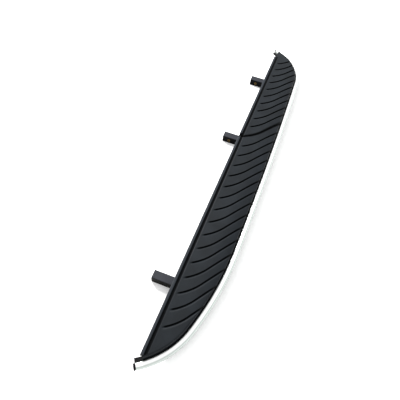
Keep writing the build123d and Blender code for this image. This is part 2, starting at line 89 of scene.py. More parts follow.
# ---- grooves: arcs that sweep back as they run outboard, then run straight
SWEEP_START = 10.0
SWEEP_ANGLE = 25.0
STRAIGHT_START = 95.0
STRAIGHT_ANGLE = 57.0
ARC_RADIUS = (STRAIGHT_START - SWEEP_START) / (
    math.sin(math.radians(STRAIGHT_ANGLE)) - math.sin(math.radians(SWEEP_ANGLE)))
GROOVE_INNER = 31.0
GROOVE_DEPTH = 5.0
GROOVE_SLOPE = 7.0               # where the long front slope of a groove begins, from its middle
GROOVE_FLOOR = 1.5               # where the floor ends and the steep rear wall begins
GROOVE_WALL = 3.1                # top of the rear wall
GROOVE_FLARE = 13.0              # length over which the inner end fades out
GROOVE_COLUMNS = (-7.0, -6.0, -5.0, -4.0, -3.0, -2.0, -1.0, 0.0, 0.8, 1.5, 2.0, 2.6, 3.1, 3.6, 4.4, 5.4)
COLUMN_SPACING = 7.0             # between grooves
NO_GROOVE = 100.0
FRONT_GROOVES = (119.0, 63.83, 15)   # first, pitch, count
REAR_GROOVES = (1151.0, 60.2, 10)
SEAM_STATION = 1082.5
SEAM_GAP = 7.0
SEAM_ROUND = 1.4
NOTCH = (9.0, 17.0, 8.0)         # opening in the lip: ahead of the seam, behind it, depth

# ---- painted shade in the covers' recesses and a painted highlight on the lip's top, as distances over which they fade in and out
GROOVE_SHADE = (-1.6, 0.4, 2.9, 3.8)         # from a groove's middle
GROOVE_END_SHADE = (GROOVE_INNER - 3.0, GROOVE_INNER + 4.0)   # reaches
CHANNEL_SHADE = (7.2, 8.4, 16.5, 19.0)       # reaches
CHANNEL_SHADE_STRENGTH = 0.8
SEAM_SHADE = (2.5, 4.5)                      # from the seam's wall
PAINTED_HIGHLIGHT_SPAN = (LIP_FLAT - 0.5, LIP_FLAT + 0.5)   # reaches
# colours mixed into the covers: painted shade in the grooves, the channel and the seam, and a painted
# highlight on the lip's top
PAINTED_SHADE_COLOUR = (0.0012, 0.0014, 0.0017)
PAINTED_HIGHLIGHT_COLOUR = (0.0150, 0.0180, 0.0225)

# ---- rail
RAIL_GAP = 5.0
RAIL_WIDTH = 21.0
RAIL_HEIGHT = 28.0
RAIL_BOTTOM = 25.0
RAIL_OUTER_RADIUS = 10.0
RAIL_INNER_RADIUS = 5.0
CAP_SHOULDER = 3.2               # how much of each cap's plug shows beyond the rail

# ---- frame
FRONT_TUBE = 296.0               # station of the front cross tube

# ---- meshes: distances in metres, angles in degrees
MERGE_DISTANCE = 2e-6
SHORTEST_EDGE = 1e-6
COVER_SHARP_ANGLE = 38.0
RAIL_SHARP_ANGLE = 50.0

# ---- floor, light and camera: metres, except for the camera's place
FLOOR_HALF = 6.0
FLOOR_GLOW = 0.12
SKY_STRENGTH = 1.15
WINDOW_POWER = 330.0
WINDOW_SIZE = 1.5
WINDOW_PLACE = (-1.7, -2.6, 2.4)
CAMERA_PLACE = (-274.0, 196.6, 1399.0)       # station, reach, height
CAMERA_HEADING = (-0.96884, -0.24787, 0.0)
CAMERA_PITCH = 54.29                         # degrees below level
CAMERA_ROLL = 7.64
CAMERA_LENS = 35.98
SENSOR_WIDTH = 36.0

# ---- sockets that have no name of their own
VECTOR_VALUE, VECTOR_FROM_MIN, VECTOR_FROM_MAX, VECTOR_TO_MIN, VECTOR_TO_MAX = range(6, 11)
MIX_FACTOR, MIX_FIRST, MIX_SECOND, MIX_RESULT = 0, 6, 7, 2

tube_low, tube_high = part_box("front_cross_tube")
STATION_ZERO = (tube_low.x + tube_high.x) / 2 + FRONT_TUBE * MM
REACH_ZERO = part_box("front_tread_cover")[0].y - LIP_INNER * MM


def place(station, reach, height=0.0):
    return Vector((STATION_ZERO - station * MM, REACH_ZERO + reach * MM, height * MM))


# ---- materials ---------------------------------------------------------------------------------

def new_node(material, kind, **values):
    node = material.node_tree.nodes.new(kind)
    for name, value in values.items():
        setattr(node, name, value)
    return node


def link(material, source, target):
    material.node_tree.links.new(source, target)


def noise(material, size_mm, detail=3.0, stretch=(1.0, 1.0, 1.0), seed=0.0):
    """Noise on the piece's own coordinates, with spots about the given size."""
    coordinates = new_node(material, "ShaderNodeTexCoord")
    mapping = new_node(material, "ShaderNodeMapping")
    mapping.inputs["Scale"].default_value = stretch
    mapping.inputs["Location"].default_value = (seed, seed * 0.7, seed * 1.3)
    texture = new_node(material, "ShaderNodeTexNoise")
    texture.inputs["Scale"].default_value = 1.0 / (size_mm * MM)
    texture.inputs["Detail"].default_value = detail
    link(material, coordinates.outputs["Object"], mapping.inputs["Vector"])
    link(material, mapping.outputs["Vector"], texture.inputs["Vector"])
    return texture.outputs["Fac"]


def ramp(material, factor, low, high, span=(0.35, 0.65)):
    """Colour or grey that runs from low to high as the factor crosses the span."""
    node = new_node(material, "ShaderNodeMapRange", data_type="FLOAT_VECTOR")
    node.inputs[VECTOR_FROM_MIN].default_value = (span[0],) * 3
    node.inputs[VECTOR_FROM_MAX].default_value = (span[1],) * 3
    node.inputs[VECTOR_TO_MIN].default_value = low
    node.inputs[VECTOR_TO_MAX].default_value = high
    link(material, factor, node.inputs[VECTOR_VALUE])
    return node.outputs["Vector"]


def map_range(material, value, span, results):
    """Value that runs from the first result to the second as the given one crosses the span."""
    node = new_node(material, "ShaderNodeMapRange")
    node.inputs["From Min"].default_value = span[0]
    node.inputs["From Max"].default_value = span[1]
    node.inputs["To Min"].default_value = results[0]
    node.inputs["To Max"].default_value = results[1]
    link(material, value, node.inputs["Value"])
    return node.outputs["Result"]


def mix_colours(material, factor, first, second, blend_type="MIX"):
    """Mix of two colours; each input is a value or the socket that feeds it."""
    node = new_node(material, "ShaderNodeMix", data_type="RGBA", blend_type=blend_type)
    for index, value in ((MIX_FACTOR, factor), (MIX_FIRST, first), (MIX_SECOND, second)):
        if isinstance(value, bpy.types.NodeSocket):
            link(material, value, node.inputs[index])
        else:
            node.inputs[index].default_value = value
    return node.outputs[MIX_RESULT]


def stored_value(material, name):
    return new_node(material, "ShaderNodeAttribute", attribute_name=name).outputs["Fac"]


def feeding(shader, name):
    """Socket that feeds an input of the shader."""
    return shader.inputs[name].links[0].from_socket


def grained(name, colours, patch, roughness, grain, bump, metallic=0.0, stretch=(1.0, 1.0, 1.0)):
    """Material whose colour drifts in patches, whose gloss is uneven and whose surface has a grain.

    The grain is a size and a depth in millimetres; the bump is its strength."""
    material = bpy.data.materials.new(name)
    material.use_nodes = True
    shader = material.node_tree.nodes["Principled BSDF"]
    shader.inputs["Metallic"].default_value = metallic
    drift = noise(material, patch, stretch=stretch)
    link(material, ramp(material, drift, *colours), shader.inputs["Base Color"])
    uneven = noise(material, patch / 4, stretch=stretch, seed=3.0)
    link(material, map_range(material, uneven, (0.3, 0.7), roughness), shader.inputs["Roughness"])
    relief = new_node(material, "ShaderNodeBump")
    relief.inputs["Strength"].default_value = bump
    relief.inputs["Distance"].default_value = grain[1] * MM
    link(material, noise(material, grain[0], detail=2.0, stretch=stretch, seed=7.0), relief.inputs["Height"])
    link(material, relief.outputs["Normal"], shader.inputs["Normal"])
    return material, shader


def grained_black_plastic():
    """Moulded polypropylene with a fine leather grain, painted shade in its recesses and a painted highlight
    on the lip.
    """
    colours = ((0.0034, 0.0052, 0.0070), (0.0056, 0.0080, 0.0106))
    material, shader = grained("grained_black_plastic", colours, 60.0, (0.45, 0.58), (1.2, 0.25), 0.6)
    painted_shade, painted_highlight = stored_value(material, "painted_shade"), stored_value(material, "painted_highlight")
    drift = feeding(shader, "Base Color")
    # painted shade darkens the grooves, the channel beside the lip and the seam; a painted highlight
    # lightens the lip's top
    with_painted_shade = mix_colours(material, painted_shade, drift, (*PAINTED_SHADE_COLOUR, 1.0))
    link(material, mix_colours(material, painted_highlight, with_painted_shade, (*PAINTED_HIGHLIGHT_COLOUR, 1.0)), shader.inputs["Base Color"])
    # the painted shade also lowers the shine in the recesses
    shine = map_range(material, painted_shade, (0.0, 1.0), (0.15, 0.04))
    link(material, shine, shader.inputs["Specular IOR Level"])
    return material


def by_height(material, shader, heights, low_colour, high_colour, speculars=None):
    """Blends the surface colour, and if asked the shine, between two heights in millimetres."""
    coordinates = new_node(material, "ShaderNodeTexCoord")
    apart = new_node(material, "ShaderNodeSeparateXYZ")
    link(material, coordinates.outputs["Object"], apart.inputs["Vector"])

    def rising(low, high):
        span = (heights[0] * MM, heights[1] * MM)
        return map_range(material, apart.outputs["Z"], span, (low, high))

    drift = feeding(shader, "Base Color")
    tint = mix_colours(material, rising(0.0, 1.0), (*low_colour, 1.0), (*high_colour, 1.0))
    tinted = mix_colours(material, 1.0, drift, tint, blend_type="MULTIPLY")
    link(material, tinted, shader.inputs["Base Color"])
    if speculars:
        link(material, rising(*speculars), shader.inputs["Specular IOR Level"])
    return material


def dull(finish, specular):
    """Lowers the shine of a finish."""
    material, shader = finish
    shader.inputs["Specular IOR Level"].default_value = specular
    return material


def joint_rubber():
    colours = ((0.0015, 0.0015, 0.0018), (0.003, 0.003, 0.0034))
    return dull(grained("joint_rubber", colours, 20.0, (0.7, 0.85), (1.5, 0.15), 0.5), 0.08)


def carrier_plastic():
    colours = ((0.003, 0.003, 0.0035), (0.006, 0.006, 0.0065))
    return dull(grained("carrier_plastic", colours, 30.0, (0.5, 0.65), (0.9, 0.1), 0.4), 0.12)


def cap_plastic():
    colours = ((0.002, 0.002, 0.0022), (0.004, 0.004, 0.0045))
    return dull(grained("cap_plastic", colours, 12.0, (0.4, 0.55), (0.8, 0.08), 0.4), 0.12)


def polished_rail_metal():
    """Bright anodised aluminium, with fine drawing lines along its length and painted shade below its top.
    """
    colours = ((0.90, 0.905, 0.90), (0.96, 0.965, 0.96))
    finish = grained("polished_rail_metal", colours, 80.0, (0.20, 0.28), (0.6, 0.02), 0.25,
                     metallic=0.45, stretch=(0.04, 1.0, 1.0))
    # painted shade: below its top the rail is tinted grey-green, standing in for the reflection of the
    # shaded floor
    return by_height(*finish, heights=(52.0, 52.95), low_colour=(0.53, 0.575, 0.55),
                     high_colour=(1.0, 1.0, 1.0))


def black_frame_coating():
    """Electrocoated steel with a faint orange peel, with a painted highlight on the tops of the tubes."""
    colours = ((0.80, 0.80, 0.80), (1.0, 1.0, 1.0))
    finish = grained("black_frame_coating", colours, 45.0, (0.36, 0.50), (2.2, 0.12), 0.45)
    # painted highlight: the tops of the tubes are lighter and shinier than their sides
    return by_height(*finish, heights=(32.5, 34.9), low_colour=(0.0008, 0.0008, 0.0010),
                     high_colour=(0.021, 0.023, 0.029), speculars=(0.03, 0.18))


def plug_plastic():
    colours = ((0.011, 0.011, 0.012), (0.018, 0.018, 0.019))
    return grained("plug_plastic", colours, 14.0, (0.5, 0.62), (0.8, 0.08), 0.4)[0]


def yellow_passivated_zinc():
    colours = ((0.055, 0.034, 0.012), (0.10, 0.065, 0.025))
    return grained("yellow_passivated_zinc", colours, 5.0, (0.28, 0.42), (0.5, 0.03), 0.3, metallic=1.0)[0]


def zinc_plated_screw():
    colours = ((0.42, 0.43, 0.44), (0.58, 0.59, 0.60))
    return grained("zinc_plated_screw", colours, 4.0, (0.28, 0.42), (0.4, 0.03), 0.3, metallic=1.0)[0]


def closed_cell_foam():
    colours = ((0.022, 0.022, 0.023), (0.04, 0.04, 0.042))
    return grained("closed_cell_foam", colours, 6.0, (0.85, 0.95), (1.0, 0.5), 0.9)[0]


FINISHES = {
    "tread_plastic": grained_black_plastic(),
    "joint_rubber": joint_rubber(),
    "carrier_plastic": carrier_plastic(),
    "cap_plastic": cap_plastic(),
    "polished_rail": polished_rail_metal(),
    "frame_paint": black_frame_coating(),
    "plug_plastic": plug_plastic(),
    "yellow_zinc": yellow_passivated_zinc(),
    "screw_steel": zinc_plated_screw(),
    "pad_foam": closed_cell_foam(),
}


def finish_cad_nodes():
    """Gives every node of the frame the finish that the record names for it."""
    for part in frame["record"]["subparts"]:
        node = frame["nodes"][part["node"]]
        node.data.materials.clear()
        node.data.materials.append(FINISHES[part["material_slot"]])


# ---- the outboard edge -------------------------------------------------------------------------

def edge_line(offset=0.0, steps=EDGE_STEPS):
    """Stations and reaches of points along the outboard edge, moved outboard by the offset."""
    heading = math.radians(EDGE_HEADING)
    station = EDGE_START[0] - offset * math.sin(heading)
    reach = EDGE_START[1] + offset * math.cos(heading)
    stations, reaches = [station], [reach]
    for radius, turn in EDGE_BENDS:
        angles = np.linspace(0.0, math.radians(turn), steps + 1)[1:]
        grown = radius + offset
        stations.extend(station + grown * (math.sin(heading) - np.sin(heading - angles)))
        reaches.extend(reach + grown * (np.cos(heading - angles) - math.cos(heading)))
        station, reach = stations[-1], reaches[-1]
        heading -= math.radians(turn)
    stations.append(station + EDGE_TAIL * math.cos(heading))
    reaches.append(reach + EDGE_TAIL * math.sin(heading))
    return np.array(stations), np.array(reaches)


EDGE_STATIONS, EDGE_REACHES = edge_line()
FRONT_TIP = float(np.interp(TIP_SETBACK, EDGE_REACHES[:EDGE_STEPS], EDGE_STATIONS[:EDGE_STEPS]))
REAR_TIP = float(np.interp(-TIP_SETBACK, -EDGE_REACHES[-EDGE_STEPS:], EDGE_STATIONS[-EDGE_STEPS:]))


def roll_drop(station, reach):
    """Fall of the rolled edge at a place, from its distance to the outboard edge."""
    edge = np.interp(station, EDGE_STATIONS, EDGE_REACHES)
    slope = np.interp(station, EDGE_STATIONS, np.gradient(EDGE_REACHES, EDGE_STATIONS))
    inside = (edge - reach) / np.sqrt(1.0 + slope ** 2)
    into = np.clip(EDGE_ROLL - inside, 0.0, EDGE_ROLL)
    return EDGE_ROLL - np.sqrt(EDGE_ROLL ** 2 - into ** 2)


# ---- tread covers ------------------------------------------------------------------------------

def sweep_angle(reach):
    inside = np.clip(reach, SWEEP_START, STRAIGHT_START)
    return np.arcsin(math.sin(math.radians(SWEEP_ANGLE)) + (inside - SWEEP_START) / ARC_RADIUS)


def sweep_back(reach):
    """Station gained by a groove at a given reach, counted from the start of its arc."""
    angle = sweep_angle(reach)
    outside = reach - np.clip(reach, SWEEP_START, STRAIGHT_START)
    return ARC_RADIUS * (math.cos(math.radians(SWEEP_ANGLE)) - np.cos(angle)) + outside * np.tan(angle)


def column_station(origin, side, reach):
    """Station of a column of the cover's mesh at a reach; a column runs beside a groove's middle."""
    return origin + sweep_back(reach) - sweep_back(GROOVE_INNER) + side / np.cos(sweep_angle(reach))


def edge_crossing(origin, side, start, offset):
    """Reach at which each column meets the outboard edge, moved by the offset."""
    stations, reaches = edge_line(offset)
    low = start.copy()
    high = np.full_like(start, BEYOND_EDGE)
    for _ in range(HALVINGS):
        middle = (low + high) / 2
        inside = np.interp(column_station(origin, side, middle), stations, reaches) > middle
        low = np.where(inside, middle, low)
        high = np.where(inside, high, middle)
    return low


def cover_columns(start, grooves, end):
    """Columns of one cover as (origin, side, beside a groove), from its front to its rear end."""
    first, pitch, count = grooves
    runs = [[(origin, side, NO_GROOVE) for origin, side in start]]
    for index in range(count):
        runs.append([(first + pitch * index, side, side) for side in GROOVE_COLUMNS])
    runs.append([(origin, side, NO_GROOVE) for origin, side in end])
    columns = list(runs[0])
    for run in runs[1:]:
        last, following = columns[-1], run[0]
        steps = max(1, round((following[0] - last[0]) / COLUMN_SPACING))
        for step in range(1, steps):
            share = step / steps
            origin = last[0] + (following[0] - last[0]) * share
            side = last[1] + (following[1] - last[1]) * share
            columns.append((origin, side, NO_GROOVE))
        columns.extend(run)
    return [np.array(values) for values in zip(*columns)]


def origin_at(station, reach=0.0):
    """Origin of the column that passes a station at a reach."""
    return station + float(sweep_back(GROOVE_INNER) - sweep_back(reach))


def smooth(value, start, stop):
    share = np.clip((value - start) / (stop - start), 0.0, 1.0)
    return share * share * (3.0 - 2.0 * share)


def lip_height(reach, station):
    """Height above the tread of the lip, its steep outboard face and the channel beside it."""
    rounded = np.clip(LIP_ROUND - (reach - LIP_INNER), 0.0, LIP_ROUND)
    height = LIP_HEIGHT - (LIP_ROUND - np.sqrt(LIP_ROUND ** 2 - rounded ** 2))
    height -= (LIP_HEIGHT + CHANNEL_DEPTH) * smooth(reach, LIP_FLAT, LIP_FOOT)
    height += CHANNEL_DEPTH * smooth(reach, *CHANNEL_RISE)
    rise = np.clip((station - LIP_START) / LIP_RAMP, 0.0, 1.0)
    fall = np.clip((LIP_END - station) / LIP_RAMP, 0.0, 1.0)
    return height * rise * fall


def crown_height(reach):
    beyond = np.maximum(reach - CROWN_START, 0.0)
    return TREAD_TOP - CROWN_RADIUS + np.sqrt(CROWN_RADIUS ** 2 - beyond ** 2)


def inboard_edge(origin, side):
    """Reach at which each column starts: the lip, the back of the notch, or the set-back tips."""
    at_lip = column_station(origin, side, 0.0)
    seam = column_station(SEAM_STATION, 0.0, 0.0)
    ahead, behind, depth = NOTCH
    corner = depth / 2
    inside = np.minimum(at_lip - (seam - ahead), (seam + behind) - at_lip)
    into_corner = np.clip(corner - inside, 0.0, corner)
    back = depth - corner + np.sqrt(corner ** 2 - into_corner ** 2)
    start = np.where(inside > 0.0, back, LIP_INNER)
    beyond_lip = (at_lip < LIP_START) | (at_lip > LIP_END)
    return np.where(beyond_lip, TIP_SETBACK, start)


def seam_drop(origin, side):
    """Fall of the rounded edge beside the seam."""
    distance = np.where(origin == SEAM_STATION, np.abs(side) - SEAM_GAP / 2, SEAM_ROUND)
    into = np.clip(SEAM_ROUND - distance, 0.0, SEAM_ROUND)
    return SEAM_ROUND - np.sqrt(SEAM_ROUND ** 2 - into ** 2)


LIP_ROWS = (
    -3.0, -2.75, -2.3, -1.7, -1.0, 1.5, 4.5, 6.9, 7.15, 7.4, 7.65, 7.9, 8.2, 8.5, 8.8, 9.1, 9.5, 10.5,
    13.0, 16.0, 16.8, 17.4, 18.0, 18.6, 19.2, 20.0)
END_ROWS = (21.5, 23.0, 24.5, 26.0, 27.5, 29.0, 30.5, 32.0, 33.5, 35.0, 37.0, 39.0, 42.0)
OPEN_ROWS = 13
ROLL_ANGLES = (18.0, 36.0, 50.0, 62.0, 72.0, 81.0, 90.0)


def cover_shell(columns):
    """Closed shell of one cover before its grooves are pressed in.

    Each column is a loop: up the inboard skirt, across the tread and down the outboard wall, then
    back along the inside.  Outer and inner rows are paired, so the ends close with plain quads."""
    origin, side, beside = columns
    start = inboard_edge(origin, side)
    edge = edge_crossing(origin, side, start, 0.0)
    inner_edge = edge_crossing(origin, side, start, -SKIN)
    roll_start = edge_crossing(origin, side, start, -EDGE_ROLL)
    middle = (start + edge) / 2
    inner_start = np.minimum(start + SKIN, middle)
    inner_edge = np.maximum(inner_edge, middle)
    at_lip = column_station(origin, side, 0.0)
    depth_of_skin = GROOVE_DEPTH + SKIN
    outer, inner = [], []
    along_lip = (at_lip > LIP_START) & (at_lip < LIP_END)

    def add_row(reach, top, in_groove=True, low=None):
        """One row of the outside and the row of the inside under it."""
        station = column_station(origin, side, reach)
        # painted shade from 0 to 1: the lip's shadow in the channel beside it, the grooves and the gap at
        # the seam
        channel = smooth(reach, *CHANNEL_SHADE[:2]) * (1.0 - smooth(reach, *CHANNEL_SHADE[2:]))
        channel = channel * along_lip * CHANNEL_SHADE_STRENGTH
        groove = smooth(beside, *GROOVE_SHADE[:2]) * (1.0 - smooth(beside, *GROOVE_SHADE[2:]))
        groove = groove * smooth(reach, *GROOVE_END_SHADE)
        beside_seam = np.where(origin == SEAM_STATION, np.abs(side) - SEAM_GAP / 2, NO_GROOVE)
        seam = 1.0 - smooth(beside_seam, *SEAM_SHADE)
        painted_shade = np.maximum(np.maximum(channel, groove), seam) * in_groove
        # painted highlight on the lip's top
        painted_highlight = (1.0 - smooth(reach, *PAINTED_HIGHLIGHT_SPAN)) * along_lip * in_groove
        groove_side = beside if in_groove else np.full_like(beside, NO_GROOVE)
        outer.append((station, reach, top, groove_side, painted_shade, painted_highlight))
        under = np.clip(reach, inner_start, inner_edge)
        under_station = column_station(origin, side, under)
        if low is None:
            height = crown_height(under) - roll_drop(under_station, under) - depth_of_skin
            height = np.maximum(height, WALL_BOTTOM)
        else:
            height = np.full_like(under, low)
        plain = np.zeros_like(under)
        inner.append((under_station, under, height, np.full_like(beside, NO_GROOVE), plain, plain))

    def add_tread_row(reach):
        station = column_station(origin, side, reach)
        lip = lip_height(reach, at_lip)
        add_row(reach, crown_height(reach) - roll_drop(station, reach) + lip - rounding)

    add_row(start, np.full_like(start, SKIRT_BOTTOM), in_groove=False, low=SKIRT_BOTTOM)
    rounding = seam_drop(origin, side)
    for row in LIP_ROWS + END_ROWS:
        add_tread_row(np.minimum(np.maximum(row, start), np.maximum(roll_start, start)))
    last_end = END_ROWS[-1]
    for index in range(1, OPEN_ROWS + 1):
        share = index / OPEN_ROWS
        spread = last_end + (roll_start - last_end) * share
        add_tread_row(np.where(roll_start > last_end, spread, roll_start))
    for angle in ROLL_ANGLES:
        turn = math.radians(angle)
        reach = edge_crossing(origin, side, start, -EDGE_ROLL * (1.0 - math.sin(turn)))
        station = column_station(origin, side, reach)
        drop = np.where(
            reach > start + 0.01, EDGE_ROLL * (1.0 - math.cos(turn)), roll_drop(station, reach))
        add_row(reach, crown_height(reach) - drop - rounding)
    add_row(edge, np.full_like(edge, WALL_BOTTOM + WALL_CHAMFER), in_groove=False, low=WALL_BOTTOM)
    chamfer = np.maximum(edge_crossing(origin, side, start, -WALL_CHAMFER), inner_edge)
    add_row(np.minimum(chamfer, edge), np.full_like(edge, WALL_BOTTOM), in_groove=False, low=WALL_BOTTOM)
    return shell_mesh(outer, inner)


def shell_mesh(outer, inner):
    """Mesh of paired outer and inner rows, closed round every column and at both ends."""
    loop = outer + inner[::-1]
    rows, columns = len(loop), len(loop[0][0])
    half = len(outer)
    points, beside, reaches, painted_shades, painted_highlights = [], [], [], [], []
    for station, reach, height, side, painted_shade, painted_highlight in loop:
        for index in range(columns):
            points.append(place(station[index], reach[index], height[index]))
        beside.extend(side)
        reaches.extend(reach)
        painted_shades.extend(painted_shade)
        painted_highlights.extend(painted_highlight)
    faces = []
    for row in range(rows):
        following = (row + 1) % rows
        for index in range(columns - 1):
            faces.append((
                row * columns + index, row * columns + index + 1,
                following * columns + index + 1, following * columns + index))
    for end in (0, columns - 1):
        for row in range(half - 1):
            partner = rows - 1 - row
            faces.append((
                row * columns + end, (row + 1) * columns + end,
                (partner - 1) * columns + end, partner * columns + end))
    mesh = bpy.data.meshes.new("shell")
    mesh.from_pydata(points, [], faces)
    # the painted shade and the painted highlight are stored for the tread's material
    stored = {"beside_groove": beside, "reach": reaches, "painted_shade": painted_shades, "painted_highlight": painted_highlights}
    for name, values in stored.items():
        attribute = mesh.attributes.new(name, "FLOAT", "POINT")
        attribute.data.foreach_set("value", np.array(values, np.float32))
    return mesh


# ---- node trees --------------------------------------------------------------------------------

def new_tree(name, sizes):
    """Empty node tree with one named input for each size, and its end nodes."""
    tree = bpy.data.node_groups.new(name, "GeometryNodeTree")
    tree.interface.new_socket("Geometry", in_out="INPUT", socket_type="NodeSocketGeometry")
    for label, value in sizes.items():
        socket = tree.interface.new_socket(label, in_out="INPUT", socket_type="NodeSocketFloat")
        socket.default_value = value
    tree.interface.new_socket("Finish", in_out="INPUT", socket_type="NodeSocketMaterial")
    tree.interface.new_socket("Geometry", in_out="OUTPUT", socket_type="NodeSocketGeometry")
    entry = tree.nodes.new("NodeGroupInput")
    realize = tree.nodes.new("GeometryNodeRealizeInstances")
    finish = tree.nodes.new("GeometryNodeSetMaterial")
    leave = tree.nodes.new("NodeGroupOutput")
    tree.links.new(realize.outputs["Geometry"], finish.inputs["Geometry"])
    tree.links.new(entry.outputs["Finish"], finish.inputs["Material"])
    tree.links.new(finish.outputs["Geometry"], leave.inputs["Geometry"])
    return tree, entry, realize


def tree_node(tree, kind, inputs=None, **settings):
    """Node with its settings, each input given as a value or as the socket that feeds it."""
    node = tree.nodes.new(kind)
    for name, value in settings.items():
        setattr(node, name, value)
    for name, value in (inputs or {}).items():
        if isinstance(value, bpy.types.NodeSocket):
            tree.links.new(value, node.inputs[name])
        else:
            node.inputs[name].default_value = value
    return node


def arithmetic(tree, operation, first, second):
    node = tree_node(tree, "ShaderNodeMath", {0: first, 1: second}, operation=operation)
    return node.outputs[0]


def grow(name, mesh, tree, sizes, finish):
    """Runs a node tree on a mesh and returns the result as an object with a plain mesh."""
    holder = bpy.data.objects.new("holder", mesh)
    bpy.context.scene.collection.objects.link(holder)
    modifier = holder.modifiers.new("grow", "NODES")
    modifier.node_group = tree
    values = dict(sizes, Finish=finish)
    for item in tree.interface.items_tree:
        if item.in_out == "INPUT" and item.name in values:
            modifier[item.identifier] = values[item.name]
    depsgraph = bpy.context.evaluated_depsgraph_get()
    plain = bpy.data.meshes.new_from_object(holder.evaluated_get(depsgraph), depsgraph=depsgraph)
    holder.modifiers.remove(modifier)
    bpy.data.objects.remove(holder)
    piece = bpy.data.objects.new(name, plain)
    bpy.context.scene.collection.objects.link(piece)
    return piece


def tidy_mesh(piece, sharp_angle):
    """Merges doubled points, turns the faces outwards and shades smoothly up to an angle."""
    work = bmesh.new()
    work.from_mesh(piece.data)
    bmesh.ops.remove_doubles(work, verts=work.verts, dist=MERGE_DISTANCE)
    bmesh.ops.dissolve_degenerate(work, edges=work.edges, dist=SHORTEST_EDGE)
    bmesh.ops.recalc_face_normals(work, faces=work.faces)
    if work.calc_volume(signed=True) < 0:
        bmesh.ops.reverse_faces(work, faces=work.faces)
    work.to_mesh(piece.data)
    work.free()
    piece.data.polygons.foreach_set("use_smooth", [True] * len(piece.data.polygons))
    piece.data.set_sharp_from_angle(angle=math.radians(sharp_angle))


GROOVE_SIZES = {
    "Depth": GROOVE_DEPTH * MM, "Slope starts": GROOVE_SLOPE, "Floor ends": GROOVE_FLOOR,
    "Wall top": GROOVE_WALL, "Inner end": GROOVE_INNER, "Flare": GROOVE_FLARE,
}


def swept_groove_tree():
    """Presses the grooves into a cover: a long slope from the front, a floor and a steep rear wall."""
    tree, entry, realize = new_tree("swept_grooves", GROOVE_SIZES)

    def stored(name):
        node = tree_node(tree, "GeometryNodeInputNamedAttribute", {"Name": name}, data_type="FLOAT")
        return node.outputs["Attribute"]

    def fade(value, start, stop, low, high):
        node = tree_node(tree, "ShaderNodeMapRange", {
            "Value": value, "From Min": start, "From Max": stop, "To Min": low, "To Max": high,
        }, interpolation_type="SMOOTHSTEP")
        return node.outputs["Result"]

    beside = stored("beside_groove")
    slope = fade(beside, arithmetic(tree, "MULTIPLY", entry.outputs["Slope starts"], -1.0), 0.0, 0.0, 1.0)
    wall = fade(beside, entry.outputs["Floor ends"], entry.outputs["Wall top"], 1.0, 0.0)
    section = arithmetic(tree, "MULTIPLY", slope, wall)
    half_flare = arithmetic(tree, "MULTIPLY", entry.outputs["Flare"], 0.5)
    flare_start = arithmetic(tree, "SUBTRACT", entry.outputs["Inner end"], half_flare)
    flare_stop = arithmetic(tree, "ADD", entry.outputs["Inner end"], half_flare)
    inner_end = fade(stored("reach"), flare_start, flare_stop, 0.0, 1.0)
    pressed = arithmetic(tree, "MULTIPLY", section, inner_end)
    depth = arithmetic(tree, "MULTIPLY", pressed, arithmetic(
        tree, "MULTIPLY", entry.outputs["Depth"], -1.0))
    move = tree_node(tree, "ShaderNodeCombineXYZ", {"Z": depth})
    lower = tree_node(tree, "GeometryNodeSetPosition", {
        "Geometry": entry.outputs["Geometry"], "Offset": move.outputs["Vector"]})
    tree.links.new(lower.outputs["Geometry"], realize.inputs["Geometry"])
    return tree


RAIL_SIZES = {
    "Gap": RAIL_GAP * MM, "Width": RAIL_WIDTH * MM, "Height": RAIL_HEIGHT * MM,
    "Bottom": RAIL_BOTTOM * MM, "Outer radius": RAIL_OUTER_RADIUS * MM,
    "Inner radius": RAIL_INNER_RADIUS * MM,
}


def rail_tree():
    """Sweeps the rail's D-shaped section along the outboard edge."""
    tree, entry, realize = new_tree("edge_rail", RAIL_SIZES)
    box = tree_node(tree, "GeometryNodeCurvePrimitiveQuadrilateral", {
        "Width": entry.outputs["Width"], "Height": entry.outputs["Height"]})
    position = tree_node(tree, "GeometryNodeInputPosition")
    apart = tree_node(tree, "ShaderNodeSeparateXYZ", {"Vector": position.outputs["Position"]})
    outer_side = tree_node(tree, "FunctionNodeCompare", {0: apart.outputs["X"], 1: 0.0},
                           data_type="FLOAT", operation="GREATER_THAN")
    radius = tree_node(tree, "GeometryNodeSwitch", {
        "Switch": outer_side.outputs[0], "False": entry.outputs["Inner radius"],
        "True": entry.outputs["Outer radius"]}, input_type="FLOAT")
    rounded = tree_node(tree, "GeometryNodeFilletCurve", {
        "Curve": box.outputs["Curve"], "Radius": radius.outputs["Output"], "Count": 8}, mode="POLY")
    half_width = arithmetic(tree, "MULTIPLY", entry.outputs["Width"], 0.5)
    half_height = arithmetic(tree, "MULTIPLY", entry.outputs["Height"], 0.5)
    out = arithmetic(tree, "ADD", entry.outputs["Gap"], half_width)
    up = arithmetic(tree, "ADD", entry.outputs["Bottom"], half_height)
    shift = tree_node(tree, "ShaderNodeCombineXYZ", {"X": out, "Y": arithmetic(tree, "MULTIPLY", up, -1.0)})
    section = tree_node(tree, "GeometryNodeTransform", {
        "Geometry": rounded.outputs["Curve"], "Translation": shift.outputs["Vector"]})
    path = tree_node(tree, "GeometryNodeMeshToCurve", {"Mesh": entry.outputs["Geometry"]})
    level = tree_node(tree, "GeometryNodeSetCurveNormal", {"Curve": path.outputs["Curve"]}, mode="Z_UP")
    swept = tree_node(tree, "GeometryNodeCurveToMesh", {
        "Curve": level.outputs["Curve"], "Profile Curve": section.outputs["Geometry"], "Fill Caps": True})
    tree.links.new(swept.outputs["Mesh"], realize.inputs["Geometry"])
    return tree


